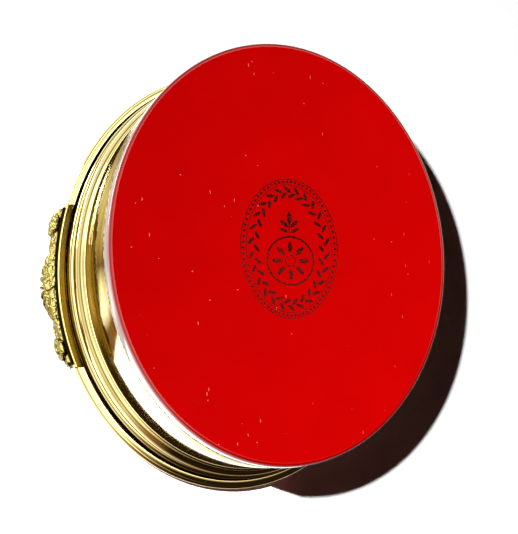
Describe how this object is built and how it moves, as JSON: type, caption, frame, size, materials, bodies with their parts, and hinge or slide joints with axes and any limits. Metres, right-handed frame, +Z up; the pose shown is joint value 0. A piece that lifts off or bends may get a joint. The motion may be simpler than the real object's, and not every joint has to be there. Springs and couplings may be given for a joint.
{
  "type": "pill box",
  "caption": "Small oval pill box: red enamel base and domed enamel lid in moulded gilt brass mounts, hinged at the back, with a scrolled thumbpiece at the front.",
  "frame": {"origin": "middle of the box's outline on the surface that it stands on", "axes": "+Z up, X along the oval's long axis, -Y towards the thumbpiece at the front and +Y towards the hinge at the back"},
  "size_m": [0.0472, 0.0426, 0.0259],
  "materials": {
    "gilt_brass": "polished gilding",
    "pin_brass": "drawn wire",
    "red_enamel": "glossy fired enamel",
    "white_enamel": "glossy fired enamel",
    "copper": "bare copper"
  },
  "bodies": {
    "base": {"base_outer_enamel": "red_enamel", "base_copper_blank": "copper", "base_inner_enamel": "white_enamel", "body_wall": "gilt_brass", "base_mount": "gilt_brass", "bezel_tongue": "gilt_brass", "catch_bar": "gilt_brass", "base_hinge_plate": "gilt_brass", "base_knuckle_1": "gilt_brass", "base_knuckle_3": "gilt_brass", "base_knuckle_5": "gilt_brass", "hinge_pin": "pin_brass"},
    "lid": {"lid_mount": "gilt_brass", "lid_retaining_band": "gilt_brass", "lid_outer_enamel": "red_enamel", "lid_copper_blank": "copper", "lid_inner_enamel": "white_enamel", "lid_hinge_plate": "gilt_brass", "lid_knuckle_2": "gilt_brass", "lid_knuckle_4": "gilt_brass", "thumbpiece_plate": "gilt_brass", "thumbpiece_ornament": "gilt_brass"}
  },
  "joints": [
    {"name": "lid_hinge", "type": "hinge", "parent": "base", "child": "lid", "pos_m": [0, 0.02035, 0.01909], "axis": [-1, 0, 0], "range_deg": [0, 100]}
  ]
}
